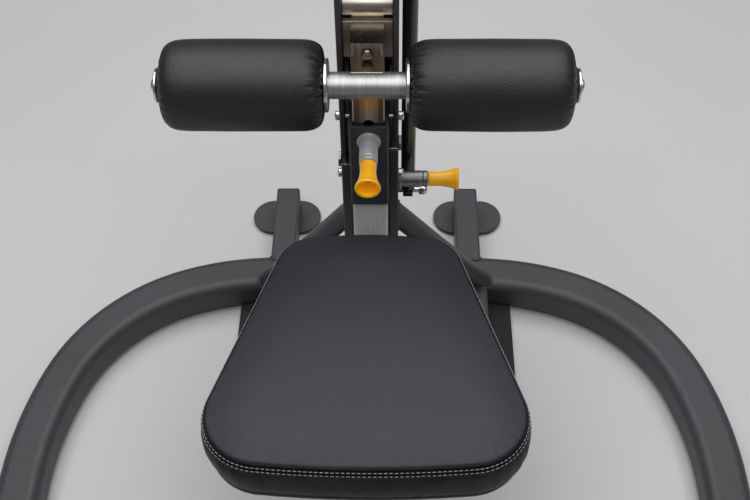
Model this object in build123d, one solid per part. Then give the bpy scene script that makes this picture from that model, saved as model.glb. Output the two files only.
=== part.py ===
"""Seated thigh hold-down bench: a horseshoe base, a plate mast, a padded seat on a
sliding leg and a pair of foam rollers on a sliding post. Millimetres, +Z up, the
floor at Z = 0, +X to the sitter's right and +Y from the seat towards the mast."""
import os
from math import radians, sin

from build123d import *

# ---- driving dimensions ----
FOOT_PAD = 4.0  # rubber under everything that meets the floor

TUBE_WIDTH = 66.0  # horseshoe base tube
TUBE_HEIGHT = 60.0
TUBE_CORNER = 16.0
TUBE_WALL = 3.0
BASE_HALF_WIDTH = 549.0  # outside of an arm
BASE_BACK = 318.0  # rear face of the back run
BASE_FRONT = -492.0  # front face of the arm caps
BASE_BENDS = [(567.0, 18.0), (292.0, 52.0), (417.0, 20.0)]  # centreline radius and turn, arm to back
CAP_FLANGE = 4.0
CAP_PLUG = 20.0

LEG_WIDTH = 40.0  # short rear legs
LEG_CENTRE = 157.5
LEG_END = 472.0
FOOT_LENGTH = 121.0  # oval plates under the rear legs
FOOT_WIDTH = 76.0
FOOT_CENTRE = (162.5, 454.0)
FOOT_THICKNESS = 6.0

FLOOR_PLATE_HALF = 227.0  # plate in front of the back run
FLOOR_PLATE_FRONT = 80.0
PLATE_THICKNESS = 8.0
HUB_HALF = 183.0  # raised box that carries the mast
HUB_FRONT = 95.0

MAST_INSIDE = 61.0  # gap between the side plates
MAST_PLATE = 7.0
MAST_FRONT = 125.0
MAST_BACK = 230.0
MAST_TOP = 960.0
BRACE_DIAMETER = 32.0
BRACE_WALL = 2.5
BRACE_FOOT = (191.0, 272.0)
BRACE_HEAD = (170.0, 325.0)  # Y and Z where a brace meets a mast plate

POST_SIZE = 40.0  # square post that carries the rollers
POST_WALL = 3.5
POST_FRONT = 104.0
POST_BOTTOM = 475.0
POST_TOP = 690.0
SLEEVE_WALL = 4.5
SLEEVE_BOTTOM = 425.0
SLEEVE_TOP = 565.0
SLIDE_GAP = 0.5  # all round a sliding post
HOLE_PITCH = 25.0

ROLLER_AXIS = (81.0, 650.0)  # Y and Z of the roller bar
ROLLER_RADIUS = 53.5
ROLLER_INNER = 45.5  # inner face of an inner disc
ROLLER_OUTER = 249.0  # outer face of an outer disc
BAR_RADIUS = 16.0
DISC_RADIUS = 32.0  # inner disc, with the smaller one at the bar's end
DISC_THICKNESS = 4.0
END_DISC_RADIUS = 20.5
END_DISC_THICKNESS = 3.0
CORE_WALL = 4.0
RUNNING_GAP = 0.08  # roller core on the bar

SEAT_NARROW_HALF = 109.5  # seat outline before its corners are rounded
SEAT_WIDE_HALF = 213.0
SEAT_BACK = 49.0
SEAT_BACK_CORNER = 38.0
SEAT_FRONT_CORNER = -289.0
SEAT_FRONT = -306.0
SEAT_NARROW_CORNER = 52.0
SEAT_WIDE_CORNER = 72.0
SEAT_PLATE_BOTTOM = 350.0
SEAT_PLATE_THICKNESS = 5.0
SEAT_BOARD_THICKNESS = 12.0
SEAT_TOP = 437.0
SEAT_LEG_HALF = 23.5
SEAT_LEG_TOP = 423.0
SEAT_LEG_BOTTOM = 250.0
SEAT_ARM_SIZE = 50.0
SEAT_ARM_FRONT = -170.0
SLIDE_BAR_HALF = 25.5  # seat slide bar in the mast
SLIDE_BAR_FRONT = 152.0
SLIDE_BAR_DEPTH = 40.0
SLIDE_BAR_BOTTOM = 200.0
SLIDE_BAR_TOP = 560.0
SEAT_HOLE_PITCH = 30.0

PIN_RADIUS = 6.0  # spring plungers
PIN_HOLE = 6.2
PIN_GAP = 0.5  # between a pin's tip and the part that it locks
BARREL_RADIUS = 11.5
BARREL_BORE = 9.3
BARREL_LENGTH = 41.0
BARREL_WALL = 4.0
ROD_RADIUS = 4.0
ROD_HOLE = 4.3
KNOB_LENGTH = 42.0
KNOB_TRAVEL = 12.0
FRONT_PLUNGER_HEIGHT = 542.0
SIDE_PLUNGER = (172.0, 399.0)  # Y and Z

STRUT_AXIS = (51.5, 207.0)  # X and Y of the assist strut
STRUT_RADIUS = 10.0
STRUT_BORE = 7.5
STRUT_LOWER = 340.0  # lower and upper eye heights
LOWER_STUD_NUT = 16.0  # from the strut's axis out to each stud's nut
UPPER_STUD_NUT = 7.5
STRUT_UPPER = 860.0
STRUT_CYLINDER_TOP = 730.0
STRUT_ROD_BOTTOM = 575.0
SLOT_HALF = 70.0  # half length of the slot for the upper stud

RAIL_THICKNESS = 6.0  # front rails beside the seat's leg
RIGHT_RAIL_TOP = 507.0
LEFT_RAIL_TOP = 478.0
RAIL_CLIP = 3.5
CLIP_TAB = 13.0  # height of the turned-up end
RAIL_GAP = 0.2  # between a rail and the sleeve

SCREW_HEIGHTS = [447.0, 550.0]
SCREW_Y = 137.0

# ---- worked-out places ----
TUBE_TOP = FOOT_PAD + TUBE_HEIGHT
ARM_CENTRE = BASE_HALF_WIDTH - TUBE_WIDTH / 2
BACK_CENTRE = BASE_BACK - TUBE_WIDTH / 2
HUB_BACK = BASE_BACK - TUBE_WIDTH
PLATE_TOP = FOOT_PAD + PLATE_THICKNESS
MAST_HALF = MAST_INSIDE / 2 + MAST_PLATE
POST_HALF = POST_SIZE / 2
POST_CENTRE = POST_FRONT + POST_HALF
SLEEVE_HALF = POST_HALF + SLIDE_GAP + SLEEVE_WALL
SLEEVE_FRONT = POST_CENTRE - SLEEVE_HALF
SLEEVE_BACK = POST_CENTRE + SLEEVE_HALF
BOARD_BOTTOM = SEAT_PLATE_BOTTOM + SEAT_PLATE_THICKNESS
PAD_BOTTOM = BOARD_BOTTOM + SEAT_BOARD_THICKNESS


def block(x_range, y_range, z_range):
    """A box between three pairs of limits."""
    size = [high - low for low, high in (x_range, y_range, z_range)]
    centre = [(high + low) / 2 for low, high in (x_range, y_range, z_range)]
    return Pos(*centre) * Box(*size)


def rod(start, end, radius):
    """A solid cylinder from one point to another."""
    axis = Vector(*end) - Vector(*start)
    plane = Plane(origin=start, z_dir=axis)
    return plane * Cylinder(radius, axis.length, align=(Align.CENTER, Align.CENTER, Align.MIN))


def ring(start, end, radius, bore):
    """A plain sleeve from one point to another."""
    return rod(start, end, radius) - rod(start, end, bore)


def both_sides(shape):
    """A right-hand piece and its mirror image on the left."""
    return [shape, mirror(shape, about=Plane.YZ)]


def save(node, *shapes):
    """Write one node's solids to its own file."""
    solids = [solid for shape in shapes for solid in shape.solids()]
    export_step(Compound(children=solids), f"parts/{node}.step")


# ---- base ----
def base_path():
    """Centreline from the right arm's front, round the back, to the left arm's front."""
    front = BASE_FRONT + CAP_FLANGE
    reach = sum(r * (sin(radians(b)) - sin(radians(a))) for r, a, b in bend_angles())
    corner = BACK_CENTRE - reach
    pieces = [Line((ARM_CENTRE, front), (ARM_CENTRE, corner))]
    for radius, turn in BASE_BENDS:
        pieces.append(JernArc(pieces[-1] @ 1, pieces[-1] % 1, radius, turn))
    start = pieces[-1] @ 1
    pieces.append(Line(start, (-start.X, start.Y)))
    for radius, turn in reversed(BASE_BENDS):
        pieces.append(JernArc(pieces[-1] @ 1, pieces[-1] % 1, radius, turn))
    pieces.append(Line(pieces[-1] @ 1, (-ARM_CENTRE, front)))
    return Wire([edge for piece in pieces for edge in piece.edges()])


def bend_angles():
    """Each bend's radius with the headings at its start and end, in degrees."""
    heading = 0.0
    angles = []
    for radius, turn in BASE_BENDS:
        angles.append((radius, heading, heading + turn))
        heading += turn
    return angles


def tube_sweep(inset):
    """The horseshoe swept solid, its section shrunk by the inset all round."""
    start = Plane(origin=(ARM_CENTRE, BASE_FRONT + CAP_FLANGE, 0), x_dir=(1, 0, 0), z_dir=(0, 1, 0))
    section = start * RectangleRounded(TUBE_WIDTH - 2 * inset, TUBE_HEIGHT - 2 * inset, TUBE_CORNER - inset)
    return Pos(0, 0, FOOT_PAD + TUBE_HEIGHT / 2) * sweep(section, path=base_path())


def end_cap(width, height, wall, corner, flange_start, centre):
    """A plastic plug: a flange that covers a tube's end and a spigot inside it.
    The flange grows along +Y from flange_start when the tube lies behind it."""
    x, z = centre
    plane = Plane(origin=(x, flange_start, z), x_dir=(1, 0, 0), z_dir=(0, 1, 0))
    flange = extrude(plane * RectangleRounded(width, height, corner), CAP_FLANGE)
    flange = fillet(flange.faces().sort_by(Axis.Y)[0].edges(), 2.0)
    fit = 2 * (wall + 0.2)
    spigot = plane * RectangleRounded(width - fit, height - fit, max(corner - wall, 1.0))
    return flange + extrude(spigot, CAP_FLANGE + CAP_PLUG)


def make_base(outer):
    save("base_tube", outer - tube_sweep(TUBE_WALL))
    middle = FOOT_PAD + TUBE_HEIGHT / 2
    cap = end_cap(TUBE_WIDTH, TUBE_HEIGHT, TUBE_WALL, TUBE_CORNER, BASE_FRONT, (ARM_CENTRE, middle))
    save("arm_end_caps", *both_sides(cap))
    pads = []
    for y in (BASE_FRONT + 60, -120):
        pads += both_sides(block((ARM_CENTRE - 15, ARM_CENTRE + 15), (y - 35, y + 35), (0, FOOT_PAD)))
    save("base_feet", *pads)


def make_hub(outer):
    floor_size = ((-FLOOR_PLATE_HALF, FLOOR_PLATE_HALF), (FLOOR_PLATE_FRONT, BACK_CENTRE))
    save("floor_plate", block(*floor_size, (FOOT_PAD, PLATE_TOP)) - outer)
    mat = ((-FLOOR_PLATE_HALF + 6, FLOOR_PLATE_HALF - 6), (FLOOR_PLATE_FRONT + 6, HUB_BACK - 6))
    save("floor_plate_mat", block(*mat, (0, FOOT_PAD)))
    deck_bottom = TUBE_TOP - PLATE_THICKNESS
    deck = block((-HUB_HALF, HUB_HALF), (HUB_FRONT, BACK_CENTRE), (deck_bottom, TUBE_TOP))
    save("hub_deck", deck - outer)
    front = block((-HUB_HALF, HUB_HALF), (HUB_FRONT, HUB_FRONT + PLATE_THICKNESS), (PLATE_TOP, deck_bottom))
    side_x = (HUB_HALF - PLATE_THICKNESS, HUB_HALF)
    side_y = (HUB_FRONT + PLATE_THICKNESS, BACK_CENTRE)
    side = block(side_x, side_y, (PLATE_TOP, deck_bottom)) - outer
    rib = block((MAST_INSIDE / 2, MAST_HALF), side_y, (PLATE_TOP, deck_bottom)) - outer
    save("hub_walls", front, *both_sides(side), *both_sides(rib))


def make_rear_legs(outer):
    bottom = FOOT_PAD + FOOT_THICKNESS
    height = TUBE_TOP - bottom
    cap_start = LEG_END - CAP_FLANGE
    left_edge = LEG_CENTRE - LEG_WIDTH / 2
    right_edge = LEG_CENTRE + LEG_WIDTH / 2
    shell = block((left_edge, right_edge), (BACK_CENTRE, cap_start), (bottom, TUBE_TOP))
    shell = fillet(shell.edges().filter_by(Axis.Y), 4.0)
    hollow_x = (left_edge + TUBE_WALL, right_edge - TUBE_WALL)
    hollow = block(hollow_x, (BACK_CENTRE, cap_start), (bottom + TUBE_WALL, TUBE_TOP - TUBE_WALL))
    leg = shell - hollow - outer
    middle = (bottom + TUBE_TOP) / 2
    cap = end_cap(LEG_WIDTH, height, TUBE_WALL, 4.0, -LEG_END, (LEG_CENTRE, middle))
    cap = mirror(cap, about=Plane.XZ)
    save("rear_leg_caps", *both_sides(cap))
    oval = Pos(FOOT_CENTRE[0], FOOT_CENTRE[1], FOOT_PAD) * SlotOverall(FOOT_LENGTH, FOOT_WIDTH)
    plate = extrude(oval, FOOT_THICKNESS)
    plate = chamfer(plate.faces().sort_by(Axis.Z)[-1].edges(), 1.0)
    pad = Pos(*FOOT_CENTRE, 0) * extrude(SlotOverall(FOOT_LENGTH - 4, FOOT_WIDTH - 4), FOOT_PAD)
    for side, leg_solid, plate_solid in zip(("right", "left"), both_sides(leg), both_sides(plate)):
        save(f"rear_leg_{side}", leg_solid)
        save(f"foot_plate_{side}", plate_solid)
    save("foot_pads", *both_sides(pad))


# ---- mast ----
def make_mast():
    inner = MAST_INSIDE / 2
    plate = block((inner, MAST_HALF), (MAST_FRONT, MAST_BACK), (TUBE_TOP, MAST_TOP))
    top_edges = plate.edges().filter_by(Axis.X).group_by(Axis.Z)[-1]
    plate = fillet(top_edges, 12.0)
    plate = chamfer(plate.edges().filter_by(Axis.Z).group_by(Axis.Y)[0], 1.2)
    for z in SCREW_HEIGHTS:
        plate -= rod((inner - 1, SCREW_Y, z), (MAST_HALF + 1, SCREW_Y, z), 3.2)
    left = mirror(plate, about=Plane.YZ)
    save("mast_plate_left", left)
    y, z = SIDE_PLUNGER
    right = plate - rod((inner - 1, y, z), (MAST_HALF + 1, y, z), PIN_HOLE + 0.1)
    lower = (STRUT_AXIS[1], STRUT_LOWER)
    right -= rod((inner - 1, *lower), (MAST_HALF + 1, *lower), 4.1)
    slot_plane = Plane(origin=(inner - 1, STRUT_AXIS[1], STRUT_UPPER), x_dir=(0, 0, 1), z_dir=(1, 0, 0))
    right -= extrude(slot_plane * SlotOverall(2 * SLOT_HALF, 12.0), MAST_PLATE + 2)
    save("mast_plate_right", right)
    save("mast_back_plate", block((-inner, inner), (MAST_BACK - 8, MAST_BACK), (TUBE_TOP, MAST_TOP - 20)))
    cap = block((-inner + 0.2, inner - 0.2), (MAST_FRONT + 12, MAST_BACK - 12), (MAST_TOP - 18, MAST_TOP))
    save("mast_top_cap", fillet(cap.faces().sort_by(Axis.Z)[-1].edges(), 3.0))


def make_braces(outer):
    foot = Vector(*BRACE_FOOT, FOOT_PAD + TUBE_HEIGHT / 2)
    head = Vector(MAST_HALF, *BRACE_HEAD)
    along = head - foot
    beyond = head + along * 0.15
    tube = ring(tuple(foot), tuple(beyond), BRACE_DIAMETER / 2, BRACE_DIAMETER / 2 - BRACE_WALL)
    outside = block((MAST_HALF, HUB_HALF + 60), (0, BASE_BACK), (TUBE_TOP - TUBE_CORNER, MAST_TOP))
    hub = block((0, HUB_HALF), (HUB_FRONT, BACK_CENTRE), (PLATE_TOP, TUBE_TOP))
    tube = (tube & outside) - outer - hub
    for side, solid in zip(("right", "left"), both_sides(tube)):
        save(f"brace_{side}", solid)


def make_sleeve():
    outer = block((-SLEEVE_HALF, SLEEVE_HALF), (SLEEVE_FRONT, SLEEVE_BACK), (SLEEVE_BOTTOM, SLEEVE_TOP))
    outer = fillet(outer.edges().filter_by(Axis.Z), 3.0)
    bore = POST_HALF + SLIDE_GAP
    hollow = block((-bore, bore), (POST_CENTRE - bore, POST_CENTRE + bore), (SLEEVE_BOTTOM, SLEEVE_TOP))
    sleeve = outer - hollow
    z = FRONT_PLUNGER_HEIGHT
    sleeve -= rod((0, SLEEVE_FRONT - 1, z), (0, POST_FRONT, z), PIN_HOLE + 0.1)
    save("post_sleeve", sleeve)
    make_rails()
    screws = []
    for z in SCREW_HEIGHTS:
        shank = rod((SLEEVE_HALF, SCREW_Y, z), (MAST_HALF, SCREW_Y, z), 3.0)
        head = rod((MAST_HALF, SCREW_Y, z), (MAST_HALF + 6.5, SCREW_Y, z), 6.0)
        head = fillet(head.faces().sort_by(Axis.X)[-1].edges(), 2.5)
        socket = Plane(origin=(MAST_HALF + 4.5, SCREW_Y, z), z_dir=(1, 0, 0)) * RegularPolygon(2.3, 6)
        screws += both_sides(shank + head - extrude(socket, 3.0))
    save("sleeve_screws", *screws)


def make_rails():
    """A front rail down each side of the channel, from a bright clip to the deck. The
    seat's leg runs between them. Each clip turns up against the mast plate's outer face."""
    clips = []
    for side, top, sign in (("right", RIGHT_RAIL_TOP, 1), ("left", LEFT_RAIL_TOP, -1)):
        inner_x = sign * (SLEEVE_HALF + RAIL_GAP)
        front = MAST_FRONT - RAIL_THICKNESS
        rail = block(sorted((inner_x, sign * MAST_HALF)), (front, MAST_FRONT), (TUBE_TOP, top))
        rail = fillet(rail.edges().filter_by(Axis.Z).group_by(Axis.Y)[0], 2.0)
        save(f"mast_rail_{side}", rail)
        outer_x = sign * (MAST_HALF + RAIL_CLIP)
        clip = block(sorted((inner_x, outer_x)), (front - 1, MAST_FRONT), (top, top + RAIL_CLIP))
        tab_x = sorted((sign * MAST_HALF, outer_x))
        clip += block(tab_x, (front - 1, MAST_FRONT + 8), (top, top + CLIP_TAB))
        clips.append(clip)
    save("rail_clips", *clips)


def make_seat_guides():
    """Two nylon strips on the plates' inner faces, which the seat's slide bar runs between."""
    x_range = (SLIDE_BAR_HALF + SLIDE_GAP, MAST_INSIDE / 2)
    y_range = (SLIDE_BAR_FRONT, SLIDE_BAR_FRONT + SLIDE_BAR_DEPTH)
    strip = block(x_range, y_range, (PLATE_TOP + 70, SLIDE_BAR_TOP + 40))
    left = mirror(strip, about=Plane.YZ)
    y, z = SIDE_PLUNGER
    right = strip - rod((x_range[0] - 1, y, z), (x_range[1] + 1, y, z), PIN_HOLE + 1.0)
    save("seat_guide_right", right)
    save("seat_guide_left", left)


# ---- spring plungers, built pointing along +Z with the mounting face at Z = 0 ----
def plunger_barrel():
    body = Cylinder(BARREL_RADIUS, BARREL_LENGTH, align=(Align.CENTER, Align.CENTER, Align.MIN))
    body = chamfer(body.faces().sort_by(Axis.Z)[-1].edges(), 1.2)
    flange = Cylinder(15.0, 4.0, align=(Align.CENTER, Align.CENTER, Align.MIN))
    flange = chamfer(flange.faces().sort_by(Axis.Z)[-1].edges(), 1.0)
    groove = Pos(0, 0, BARREL_LENGTH - 7) * Torus(BARREL_RADIUS + 0.4, 1.2)
    bore = rod((0, 0, -1), (0, 0, BARREL_LENGTH - BARREL_WALL), BARREL_BORE)
    gland = rod((0, 0, 0), (0, 0, BARREL_LENGTH + 1), ROD_HOLE)
    return body + flange - groove - bore - gland


def plunger_pin(tip):
    """Locking pin, collar and pull rod. tip is how far the pin reaches below the face."""
    pin = rod((0, 0, -tip), (0, 0, 10), PIN_RADIUS)
    pin = chamfer(pin.faces().sort_by(Axis.Z)[0].edges(), 1.2)
    collar = rod((0, 0, 7), (0, 0, 10), BARREL_BORE - 0.4)
    pull = rod((0, 0, 10), (0, 0, BARREL_LENGTH + KNOB_LENGTH - 14), ROD_RADIUS)
    return pin + collar + pull


def plunger_knob():
    """A flared grip with a cupped end, turned about the rod."""
    start = BARREL_LENGTH + 0.6
    end = start + KNOB_LENGTH
    outline = Polyline((ROD_RADIUS, start), (9.4, start), (10.4, start + 1.5))
    flare = Spline(
        (10.4, start + 1.5),
        (10.2, start + 14),
        (14.6, end - 6),
        (16.0, end - 1.8),
        tangents=((0, 1), (0.15, 1)),
    )
    rim = Polyline((16.0, end - 1.8), (15.2, end), (12.2, end), (11.2, end - 3))
    cup = Polyline((11.2, end - 3), (9.4, end - 13.6), (ROD_RADIUS, end - 13.6), (ROD_RADIUS, start))
    profile = make_face(Plane.XZ * Wire([e for part in (outline, flare, rim, cup) for e in part.edges()]))
    return revolve(profile, Axis.Z)


def plunger_spring():
    """The return spring at its compressed length, against the barrel's end wall."""
    height = BARREL_LENGTH - BARREL_WALL - 10 - KNOB_TRAVEL - 2.5
    path = Helix(pitch=height / 5, height=height, radius=6.6)
    section = Plane(origin=path @ 0, z_dir=path % 0) * Circle(0.8)
    coil = sweep(section, path=path, is_frenet=True)
    return Pos(0, 0, BARREL_LENGTH - BARREL_WALL - height - 1.0) * coil


def make_plungers():
    front = Plane(origin=(0, SLEEVE_FRONT, FRONT_PLUNGER_HEIGHT), x_dir=(1, 0, 0), z_dir=(0, -1, 0))
    side = Plane(origin=(MAST_HALF, *SIDE_PLUNGER), x_dir=(0, 1, 0), z_dir=(1, 0, 0))
    front_tip = POST_FRONT - PIN_GAP - SLEEVE_FRONT
    side_tip = MAST_HALF - SLIDE_BAR_HALF - PIN_GAP
    springs = []
    for name, place, tip in (("front", front, front_tip), ("side", side, side_tip)):
        save(f"{name}_plunger_barrel", place * plunger_barrel())
        save(f"{name}_plunger_pin", place * plunger_pin(tip))
        save(f"{name}_knob", place * plunger_knob())
        springs.append(place * plunger_spring())
    save("plunger_springs", *springs)


# ---- assist strut ----
def strut_eye(z):
    x, y = STRUT_AXIS
    eye = rod((x - 7, y, z), (x + 7, y, z), STRUT_RADIUS)
    return eye, rod((x - 8, y, z), (x + 8, y, z), 4.1)


def make_strut():
    x, y = STRUT_AXIS
    eye, hole = strut_eye(STRUT_LOWER)
    tube = rod((x, y, STRUT_LOWER + 9), (x, y, STRUT_CYLINDER_TOP), STRUT_RADIUS)
    tube = fillet(tube.faces().sort_by(Axis.Z)[-1].edges(), 2.5)
    bore = rod((x, y, STRUT_LOWER + 16), (x, y, STRUT_CYLINDER_TOP - 12), STRUT_BORE)
    gland = rod((x, y, STRUT_LOWER + 16), (x, y, STRUT_CYLINDER_TOP + 1), ROD_HOLE)
    save("strut_cylinder", tube + eye - hole - bore - gland)
    shaft = rod((x, y, STRUT_ROD_BOTTOM), (x, y, STRUT_UPPER - STRUT_RADIUS + 1), ROD_RADIUS)
    piston = rod((x, y, STRUT_ROD_BOTTOM), (x, y, STRUT_ROD_BOTTOM + 12), STRUT_BORE - 0.4)
    upper_eye, upper_hole = strut_eye(STRUT_UPPER)
    save("strut_rod", shaft + piston + upper_eye - upper_hole)
    save("strut_lower_stud", stud(STRUT_LOWER, MAST_INSIDE / 2 - 3, MAST_INSIDE / 2, LOWER_STUD_NUT))
    save("strut_upper_stud", stud(STRUT_UPPER, HANGER_X[1], HANGER_X[1], UPPER_STUD_NUT))


def stud(z, flange_start, flange_end, nut_start):
    """A stud through an eye, with a domed nut outside. A flange closes its inner end."""
    x, y = STRUT_AXIS
    nut_x = x + nut_start
    shank = rod((flange_start, y, z), (nut_x + 1, y, z), 4.0)
    if flange_end > flange_start:
        shank += rod((flange_start, y, z), (flange_end, y, z), 8.0)
    nut = Plane(origin=(nut_x, y, z), x_dir=(0, 1, 0), z_dir=(1, 0, 0)) * RegularPolygon(7.5, 6)
    dome = rod((nut_x, y, z), (nut_x + 12.5, y, z), 6.6)
    dome = fillet(dome.faces().sort_by(Axis.X)[-1].edges(), 5.5)
    return shank + extrude(nut, 6.5) + dome


# ---- roller carriage ----
HANGER_X = (8.0, 22.0)
CROSSBAR = (168.0, 702.0, 16.0)  # Y, Z and radius of the guide bar
BRACKET_HEIGHT = (640.0, 694.0)
BRACKET_FLANGE = 7.0


def make_post():
    shell = block((-POST_HALF, POST_HALF), (POST_FRONT, POST_FRONT + POST_SIZE), (POST_BOTTOM, POST_TOP))
    shell = fillet(shell.edges().filter_by(Axis.Z), 3.0)
    inner = POST_HALF - POST_WALL
    hollow = block((-inner, inner), (POST_CENTRE - inner, POST_CENTRE + inner), (POST_BOTTOM, POST_TOP))
    post = shell - hollow
    for step in range(-2, 2):
        z = FRONT_PLUNGER_HEIGHT + step * HOLE_PITCH
        post -= rod((0, POST_FRONT - 1, z), (0, POST_FRONT + POST_WALL + 1, z), PIN_HOLE)
    save("roller_post", post)
    plug = inner - 0.2
    lid = block((-POST_HALF, POST_HALF), (POST_FRONT, POST_FRONT + POST_SIZE), (POST_TOP, POST_TOP + 3))
    lid = fillet(lid.edges().filter_by(Axis.Z), 3.0)
    lid += block((-plug, plug), (POST_CENTRE - plug, POST_CENTRE + plug), (POST_TOP - 12, POST_TOP))
    save("post_cap", lid)


def make_saddle():
    """The block that holds the roller bar on the post's front face, and its bolt."""
    y, z = ROLLER_AXIS
    saddle = block((-19, 19), (y, POST_FRONT), (z - 19, z + 19))
    saddle = fillet(saddle.edges().filter_by(Axis.X).group_by(Axis.Y)[0], 2.0)
    save("bar_saddle", saddle - rod((-20, y, z), (20, y, z), BAR_RADIUS))
    bolt_z = z + 29
    bolt = rod((0, POST_FRONT - 5, bolt_z), (0, POST_FRONT, bolt_z), 6.5)
    bolt = fillet(bolt.faces().sort_by(Axis.Y)[0].edges(), 3.0)
    save("post_bolt", bolt)


def make_roller_bar():
    y, z = ROLLER_AXIS
    half = ROLLER_OUTER - END_DISC_THICKNESS
    save("roller_bar", ring((-half, y, z), (half, y, z), BAR_RADIUS, BAR_RADIUS - 3))
    inner_disc = ring((ROLLER_INNER, y, z), (ROLLER_INNER + DISC_THICKNESS, y, z), DISC_RADIUS, BAR_RADIUS)
    outer_disc = rod((half, y, z), (ROLLER_OUTER, y, z), END_DISC_RADIUS) - rod((0, y, z), (300, y, z), 4.1)
    inner_disc = fillet(inner_disc.faces().sort_by(Axis.X)[0].outer_wire().edges(), 1.5)
    outer_disc = fillet(outer_disc.faces().sort_by(Axis.X)[-1].outer_wire().edges(), 1.5)
    save("roller_discs", *both_sides(inner_disc), *both_sides(outer_disc))
    plug = rod((half - 14, y, z), (half, y, z), BAR_RADIUS - 3.1) - rod((0, y, z), (300, y, z), 4.1)
    save("bar_end_plugs", *both_sides(plug))
    head = rod((ROLLER_OUTER, y, z), (ROLLER_OUTER + 5, y, z), 7.5)
    head = fillet(head.faces().sort_by(Axis.X)[-1].edges(), 3.0)
    bolt = head + rod((half - 18, y, z), (ROLLER_OUTER, y, z), 4.0)
    save("bar_end_bolts", *both_sides(bolt))


def make_rollers():
    y, z = ROLLER_AXIS
    start = ROLLER_INNER + DISC_THICKNESS + 0.6
    end = ROLLER_OUTER - END_DISC_THICKNESS - 0.6
    bore = BAR_RADIUS + RUNNING_GAP
    core_radius = bore + CORE_WALL
    core = ring((start, y, z), (end, y, z), core_radius, bore)
    pad = rod((start, y, z), (end, y, z), ROLLER_RADIUS)
    pad = fillet(pad.edges(), 18.0) - rod((start - 1, y, z), (end + 1, y, z), core_radius)
    for side, core_solid, pad_solid in zip(("right", "left"), both_sides(core), both_sides(pad)):
        save(f"roller_core_{side}", core_solid)
        save(f"roller_pad_{side}", pad_solid)


def make_carriage_guide():
    """What steadies the post between the mast plates: a wide bracket behind it, a round bar
    across the channel, and a hanger up to the assist strut."""
    y, z, radius = CROSSBAR
    back = POST_FRONT + POST_SIZE
    half = MAST_INSIDE / 2 - SLIDE_GAP
    bracket = block((-19, 19), (back, y), BRACKET_HEIGHT)
    bracket += block((-half, half), (back, back + BRACKET_FLANGE), BRACKET_HEIGHT)
    bar_hole = rod((-half, y, z), (half, y, z), radius)
    save("guide_bracket", bracket - bar_hole)
    hanger_y = (y + 4, STRUT_AXIS[1] + 9)
    hanger = block(HANGER_X, hanger_y, (z - 10, STRUT_UPPER + 12))
    save("strut_hanger", hanger - bar_hole)
    save("guide_bar", bar_hole)


# ---- seat ----
def seat_outline(inset):
    """The seat's plan: a narrow end by the mast and a wide, gently bowed front."""
    right_back = (SEAT_NARROW_HALF, SEAT_BACK_CORNER)
    left_back = (-SEAT_NARROW_HALF, SEAT_BACK_CORNER)
    right_front = (SEAT_WIDE_HALF, SEAT_FRONT_CORNER)
    left_front = (-SEAT_WIDE_HALF, SEAT_FRONT_CORNER)
    left_side = Line(left_front, left_back)
    back = ThreePointArc(left_back, (0, SEAT_BACK), right_back)
    right_side = Line(right_back, right_front)
    front = ThreePointArc(right_front, (0, SEAT_FRONT), left_front)
    face = make_face(Wire([left_side, back, right_side, front]))
    back_corners = face.vertices().group_by(Axis.Y)[-1]
    face = fillet(back_corners, SEAT_NARROW_CORNER)
    front_corners = face.vertices().group_by(Axis.Y)[0]
    face = fillet(front_corners, SEAT_WIDE_CORNER)
    if inset:
        face = offset(face, -inset)
    return face


def make_seat_top():
    pad = extrude(Pos(0, 0, PAD_BOTTOM) * seat_outline(0), SEAT_TOP - PAD_BOTTOM)
    pad = fillet(pad.faces().sort_by(Axis.Z)[-1].edges(), 15.0)
    save("seat_pad", pad)
    board = extrude(Pos(0, 0, BOARD_BOTTOM) * seat_outline(6.0), SEAT_BOARD_THICKNESS)
    holes = [rod((x, y, 0), (x, y, PAD_BOTTOM - 1), 4.1) for x, y in seat_bolt_places()]
    save("seat_board", board - holes)
    plate_y = (SEAT_ARM_FRONT - 20, SEAT_BACK - 35)
    plate = block((-80, 80), plate_y, (SEAT_PLATE_BOTTOM, BOARD_BOTTOM))
    plate = fillet(plate.edges().filter_by(Axis.Z), 12.0)
    save("seat_plate", plate - holes)
    bolts = []
    for x, y in seat_bolt_places():
        head = rod((x, y, SEAT_PLATE_BOTTOM - 5.5), (x, y, SEAT_PLATE_BOTTOM), 6.5)
        head = fillet(head.faces().sort_by(Axis.Z)[0].edges(), 2.0)
        bolts.append(head + rod((x, y, SEAT_PLATE_BOTTOM), (x, y, PAD_BOTTOM - 2), 4.0))
    save("seat_bolts", *bolts)


def seat_bolt_places():
    return [(x, y) for x in (-60, 60) for y in (SEAT_ARM_FRONT, SEAT_BACK - 55)]


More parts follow.
